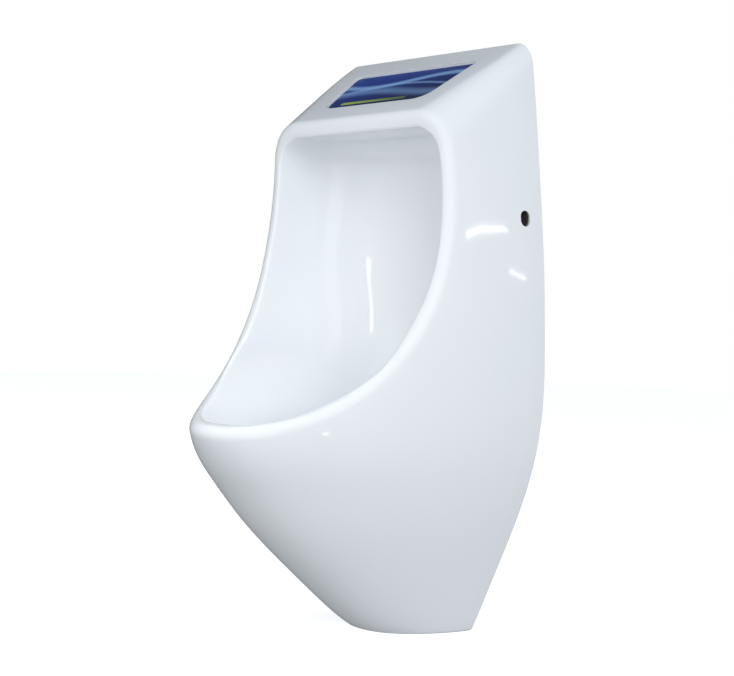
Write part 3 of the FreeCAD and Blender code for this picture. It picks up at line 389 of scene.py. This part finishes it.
def frosted_dome(name, settings):
    """Frosted translucent plastic, clearer low down, with the block's blue painted into its colour there as
    light showing through.
    """
    finish = Finish(name)
    low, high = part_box("dome")
    frost = finish.coordinate("Z").ramp(low.z, high.z)
    cloud = finish.noise(70.0, 3.0)
    patches = finish.noise(45.0, 2.0).ramp(0.35, 0.65)
    # Painted light: the block's blue, which shows through the dome, is painted into the colour of its lower
    # part.
    painted_block_blue = (1.0 - frost.ramp(0.05, 0.55)) * (0.35 + patches * 0.45)
    milky = finish.blend(cloud, tuple(0.9 * part for part in settings.frosted), settings.frosted)
    return finish.set(
        Base_Color=finish.blend(painted_block_blue, milky, settings.block),
        Roughness=0.32 + cloud * 0.2,
        Alpha=0.30 + frost * 0.45 + cloud * 0.1,
        Normal=finish.bump(finish.noise(1200.0, 2.0), 0.00004))


def clear_cover(name):
    """Clear acrylic sheet with a faint haze of fine scratches and milky cut edges, whose white also serves
    as a painted highlight along the recess edge.
    """
    finish = Finish(name)
    haze = finish.noise(1.0, 3.0, finish.mapped((40.0, 900.0, 900.0)))
    normal = finish.add("ShaderNodeNewGeometry", output="Normal")
    # The cut edges turn opaque white. This is partly the acrylic's milky edge and partly a painted
    # highlight along the recess edge.
    milky_edge_and_highlight = 1.0 - abs(finish.share(normal, joint_axis("cover_lift"))).ramp(0.5, 0.95)
    return finish.set(
        Base_Color=(0.9, 0.93, 0.96),
        Roughness=0.04 + haze * 0.06,
        Alpha=0.02 + haze.ramp(0.6, 0.9) * 0.04 + milky_edge_and_highlight * 0.5)


def printed_card(name, settings):
    """Blue print: a deep ground, pale drifting bands and a lime stripe."""
    finish = Finish(name)
    low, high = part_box("display_card")
    lift = joint_axis("cover_lift")
    down = Vector((0.0, -lift.z, lift.y))
    start = min(down.dot(low), down.dot(high))
    length = abs(down.dot(high - low))
    along = (finish.share(finish.place(), down) - start) / length
    across = finish.coordinate("X") / high.x
    ground = finish.blend((along * 0.7 + across * 0.3).ramp(-0.2, 1.0), settings.blue, settings.deep)
    for rise, swing, pace, thickness, strength in (
            (0.30, 0.10, 2.6, 0.10, 0.75), (0.52, 0.14, 1.9, 0.05, 0.55), (0.64, 0.12, 2.2, 0.16, 0.4)):
        line = along - rise - (across * pace + rise * 9.0).sine() * swing
        band = (1.0 - abs(line) / thickness).ramp(0.0, 1.0) * strength
        ground = finish.blend(band, ground, settings.pale)
    place, half_height, middle, half_width = 0.86, 0.035, -0.1, 0.55
    stripe = (half_height - abs(along - place)).above(0.0) * (half_width - abs(across - middle)).above(0.0)
    fade = 0.3 + (0.5 - across).ramp(0.0, 1.0) * 0.7
    ground = finish.blend(stripe * fade, ground, settings.lime)
    return finish.set(Base_Color=ground, Roughness=0.3 + finish.noise(300.0) * 0.15,
                      Normal=finish.bump(finish.noise(1500.0), 0.00001), Specular_IOR_Level=0.12)


# Pieces

def dress(node, finish):
    """Give a CAD node its finish."""
    mesh = NODES[node].data
    mesh.materials.clear()
    mesh.materials.append(finish.material)


def smooth_copy(node, finish, crease):
    """A copy of a CAD node as one smooth surface, which stands for it."""
    bpy.ops.object.select_all(action="DESELECT")
    source = NODES[node]
    body = source["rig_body"]
    source.select_set(True)
    bpy.context.view_layer.objects.active = source
    bpy.ops.object.duplicate()
    piece = bpy.context.object
    piece.name = node + "_surface"
    del piece["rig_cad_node"]
    bpy.ops.mesh.customdata_custom_splitnormals_clear()
    bpy.ops.object.mode_set(mode="EDIT")
    bpy.ops.mesh.select_all(action="SELECT")
    bpy.ops.mesh.remove_doubles(threshold=MERGE_DISTANCE)
    bpy.ops.object.mode_set(mode="OBJECT")
    bpy.ops.object.shade_smooth_by_angle(angle=crease, keep_sharp_edges=False)
    piece.data.materials.clear()
    piece.data.materials.append(finish.material)
    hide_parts(node)
    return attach(piece, body)


class URINAL_OT_shell(bpy.types.Operator):
    """Make the polished shell one smooth surface"""
    bl_idname = "urinal.shell"
    bl_label = "Shell"

    def execute(self, context):
        settings = context.scene.urinal_shell
        # The shell gets painted shade in its side screws' pockets.
        finish = polished_white("polished_shell", settings, 26.0, shaded_pockets=True)
        smooth_copy("outer_shell", finish, settings.crease)
        return {"FINISHED"}


class URINAL_OT_bowl(bpy.types.Operator):
    """Make the polished bowl one smooth surface"""
    bl_idname = "urinal.bowl"
    bl_label = "Bowl"

    def execute(self, context):
        settings = context.scene.urinal_shell
        finish = polished_white("polished_bowl", settings, 18.0)
        smooth_copy("bowl", finish, settings.crease)
        return {"FINISHED"}


class URINAL_OT_display(bpy.types.Operator):
    """Print the card and clear its cover"""
    bl_idname = "urinal.display"
    bl_label = "Display"

    def execute(self, context):
        dress("display_card", printed_card("display_print", context.scene.urinal_display))
        dress("display_cover", clear_cover("clear_acrylic"))
        return {"FINISHED"}


class URINAL_OT_bracket(bpy.types.Operator):
    """Finish the wall bracket and its fasteners"""
    bl_idname = "urinal.bracket"
    bl_label = "Wall bracket"

    def execute(self, context):
        dress("wall_bracket", zinc_sheet("zinc_sheet"))
        dress("bracket_nuts", turned_steel("turned_steel", (0.42, 0.42, 0.43), (0.62, 0.62, 0.63)))
        blackened = turned_steel("blackened_steel", (0.030, 0.030, 0.026), (0.075, 0.072, 0.062))
        for node in ("side_washers", "side_screws"):
            dress(node, blackened)
        return {"FINISHED"}


class URINAL_OT_trap(bpy.types.Operator):
    """Finish the trap housing, its nut and the outlet pipe"""
    bl_idname = "urinal.trap"
    bl_label = "Trap housing"

    def execute(self, context):
        settings = context.scene.urinal_trap
        housing = moulded_plastic("housing_grey", settings.housing, 0.5)
        rubber = black_rubber("seal_rubber")
        dress("trap_housing", housing)
        dress("housing_nut", housing)
        dress("outlet_pipe", moulded_plastic("pipe_grey", settings.pipe, 0.42))
        dress("slip_washer", moulded_plastic("washer_white", settings.strainer, 0.45))
        for node in ("housing_gasket", "outlet_seal", "cartridge_seal", "float_seal"):
            dress(node, rubber)
        return {"FINISHED"}


class URINAL_OT_cartridge(bpy.types.Operator):
    """Finish the lift-out cartridge: strainer, dome, block and cup"""
    bl_idname = "urinal.cartridge"
    bl_label = "Cartridge"

    def execute(self, context):
        settings = context.scene.urinal_trap
        dress("strainer_disc", moulded_plastic("strainer_white", settings.strainer, 0.38))
        dress("dome", frosted_dome("frosted_dome", settings))
        dress("cleaning_block", pressed_block("pressed_block", settings.block))
        cup = moulded_plastic("cup_grey", settings.cup, 0.35)
        dress("cartridge_cup", cup)
        dress("guide_spider", cup)
        return {"FINISHED"}


class URINAL_OT_float(bpy.types.Operator):
    """Finish the float valve"""
    bl_idname = "urinal.float_valve"
    bl_label = "Float valve"

    def execute(self, context):
        blue = moulded_plastic("float_blue", context.scene.urinal_trap.float_blue, 0.35)
        dress("float_bell", blue)
        dress("float_stem", blue)
        return {"FINISHED"}


# Studio

DIM_SIDES = (
    (Vector((-0.82, 0.55, 0.15)), (0.050, 0.052, 0.055)),
    (Vector((-0.88, -0.15, -0.45)), (0.245, 0.256, 0.270)),
)


def studio_world(scene):
    """Soft surround: brightest overhead, dim on the left and behind it, white to the camera."""
    world = bpy.data.worlds.new("studio")
    scene.world = world
    world.use_nodes = True
    shade = Shade(world.node_tree)
    direction = shade.add("ShaderNodeTexCoord", output="Generated")
    height = shade.add("ShaderNodeSeparateXYZ", None, {"Vector": direction}, output="Z")
    light = shade.blend(height.ramp(-0.5, 0.25), (0.50, 0.525, 0.55), (0.398, 0.434, 0.471))
    light = shade.blend(height.ramp(0.3, 1.0), light, (0.545, 0.605, 0.665))
    for side, colour in DIM_SIDES:
        light = shade.blend(shade.share(direction, side).ramp(0.25, 0.95), light, colour)
    seen = shade.add("ShaderNodeLightPath", output="Is Camera Ray")
    background = shade.add("ShaderNodeBackground", None,
                           {"Color": shade.blend(seen, light, (1.0, 1.0, 1.0))})
    output = shade.tree.nodes.new("ShaderNodeOutputWorld")
    shade.tree.links.new(background.socket, output.inputs["Surface"])


def studio_light(name, place, aim, size, power, mirrored=False, roll=0.0, spread=math.pi):
    """A soft panel turned to a point: light without a mirror image, or a glint that only shows mirrored."""
    bpy.ops.object.light_add(type="AREA", location=place)
    lamp = bpy.context.object
    lamp.name = name
    lamp.data.shape = "RECTANGLE"
    lamp.data.size, lamp.data.size_y = size
    lamp.data.energy = power
    lamp.data.spread = spread
    turn = (Vector(aim) - Vector(place)).to_track_quat("-Z", "Y").to_matrix()
    lamp.rotation_euler = (turn @ Matrix.Rotation(roll, 3, "Z")).to_euler()
    lamp.visible_camera = False
    lamp.visible_diffuse = not mirrored
    lamp.visible_glossy = mirrored


def studio_floor(settings):
    """A wide pale floor under the object."""
    bpy.ops.object.select_all(action="DESELECT")
    bpy.ops.mesh.primitive_circle_add(
        vertices=96, radius=FLOOR_RADIUS, fill_type="NGON", location=(0, 0, FLOOR_LEVEL))
    floor = bpy.context.object
    floor.name = "studio_floor"
    bpy.ops.object.transform_apply(location=True)
    finish = Finish("pale_floor")
    finish.set(Base_Color=settings.floor, Roughness=0.9,
               Emission_Color=(1.0, 1.0, 1.0), Emission_Strength=0.62)
    floor.data.materials.append(finish.material)
    floor.visible_diffuse = False
    floor.visible_glossy = False
    floor.visible_shadow = False


def photo_camera(scene, settings):
    """A camera at the photograph's viewing angle, filling the frame with the object."""
    target = Vector(CAMERA_TARGET)
    turn, lift = settings.azimuth, settings.elevation
    back = Vector((math.sin(turn) * math.cos(lift), -math.cos(turn) * math.cos(lift), math.sin(lift)))
    right = Vector((math.cos(turn), math.sin(turn), 0.0))
    place = target + back * settings.distance
    aim = target + right * CAMERA_SHIFT
    bpy.ops.object.camera_add(location=place)
    camera = bpy.context.object
    camera.name = "photo_camera"
    camera.data.lens = settings.lens
    camera.data.sensor_width = SENSOR_WIDTH
    look = (aim - place).to_track_quat("-Z", "Y").to_matrix().to_4x4()
    camera.matrix_world = Matrix.Translation(place) @ look @ Matrix.Rotation(settings.roll, 4, "Z")
    scene.camera = camera


class URINAL_OT_stage(bpy.types.Operator):
    """Set the floor, the soft lights and the camera"""
    bl_idname = "urinal.stage"
    bl_label = "Studio"

    def execute(self, context):
        settings = context.scene.urinal_stage
        context.scene.view_settings.view_transform = "Standard"
        studio_world(context.scene)
        studio_floor(settings)
        middle = (0.0, -0.1, 0.35)
        studio_light("key_light", (2.4, -1.4, 1.3), middle, (1.4, 1.4), settings.key)
        studio_light("fill_light", (-1.2, -2.4, 0.9), middle, (1.2, 1.2), settings.fill)
        studio_light("bowl_light", (0.90, -2.00, 0.25), middle, (1.0, 1.0), settings.inside)
        studio_light("back_light", (-0.4, 2.6, 1.3), middle, (1.4, 1.4), settings.back)
        studio_light("bowl_soft", (0.05, -0.42, 0.52), (-0.03, -0.15, 0.27), (0.25, 0.15), 0.156)
        studio_light("bowl_low", (-0.02, -0.36, 0.36), (-0.02, -0.12, 0.24), (0.12, 0.10), 0.057)
        bowl_back, bowl_left = (-0.062, -0.038, 0.347), (-0.115, -0.060, 0.360)
        studio_light("bowl_glint", (-0.90, -1.88, 0.40), bowl_back, (0.10, 0.20), 0.0016, True,
                     spread=math.radians(12))
        studio_light("wedge_glint", (0.70, -1.70, 0.25), bowl_left, (0.90, 0.90), 1.8, True)
        studio_light("rim_glint", (1.465, -0.656, -0.245), (0.104, -0.267, 0.252), (0.30, 0.20), 0.0005,
                     True, spread=math.radians(4))
        studio_light("side_glint", (1.935, 0.745, 0.846), (0.164, -0.089, 0.475), (0.54, 0.022), 0.32, True)
        studio_light("edge_glint", (1.825, 1.065, 0.676), (0.177, -0.037, 0.430), (0.17, 0.014), 0.07, True,
                     math.radians(-12))
        photo_camera(context.scene, settings)
        return {"FINISHED"}


class URINAL_PT_pieces(bpy.types.Panel):
    """Sidebar list of the urinal's pieces"""
    bl_idname = "URINAL_PT_pieces"
    bl_label = "Waterless urinal"
    bl_space_type = "VIEW_3D"
    bl_region_type = "UI"
    bl_category = "Urinal"

    def draw(self, context):
        for operator in OPERATORS:
            self.layout.operator(operator.bl_idname)
        for name in SETTINGS:
            settings = getattr(context.scene, name)
            box = self.layout.box()
            for prop in settings.bl_rna.properties:
                if prop.identifier not in ("rna_type", "name"):
                    box.prop(settings, prop.identifier)


OPERATORS = (URINAL_OT_shell, URINAL_OT_bowl, URINAL_OT_display, URINAL_OT_bracket, URINAL_OT_trap,
             URINAL_OT_cartridge, URINAL_OT_float, URINAL_OT_stage)
SETTINGS = {
    "urinal_shell": UrinalShellSettings,
    "urinal_display": UrinalDisplaySettings,
    "urinal_trap": UrinalTrapSettings,
    "urinal_stage": UrinalStageSettings,
}
CLASSES = (*SETTINGS.values(), *OPERATORS, URINAL_PT_pieces)


def register():
    for cls in CLASSES:
        bpy.utils.register_class(cls)
    for name, settings in SETTINGS.items():
        setattr(bpy.types.Scene, name, bpy.props.PointerProperty(type=settings))


def unregister():
    for name in SETTINGS:
        delattr(bpy.types.Scene, name)
    for cls in reversed(CLASSES):
        bpy.utils.unregister_class(cls)


def main():
    register()
    bpy.ops.urinal.shell()
    bpy.ops.urinal.bowl()
    bpy.ops.urinal.display()
    bpy.ops.urinal.bracket()
    bpy.ops.urinal.trap()
    bpy.ops.urinal.cartridge()
    bpy.ops.urinal.float_valve()
    bpy.ops.urinal.stage()


if __name__ == "__main__":
    main()
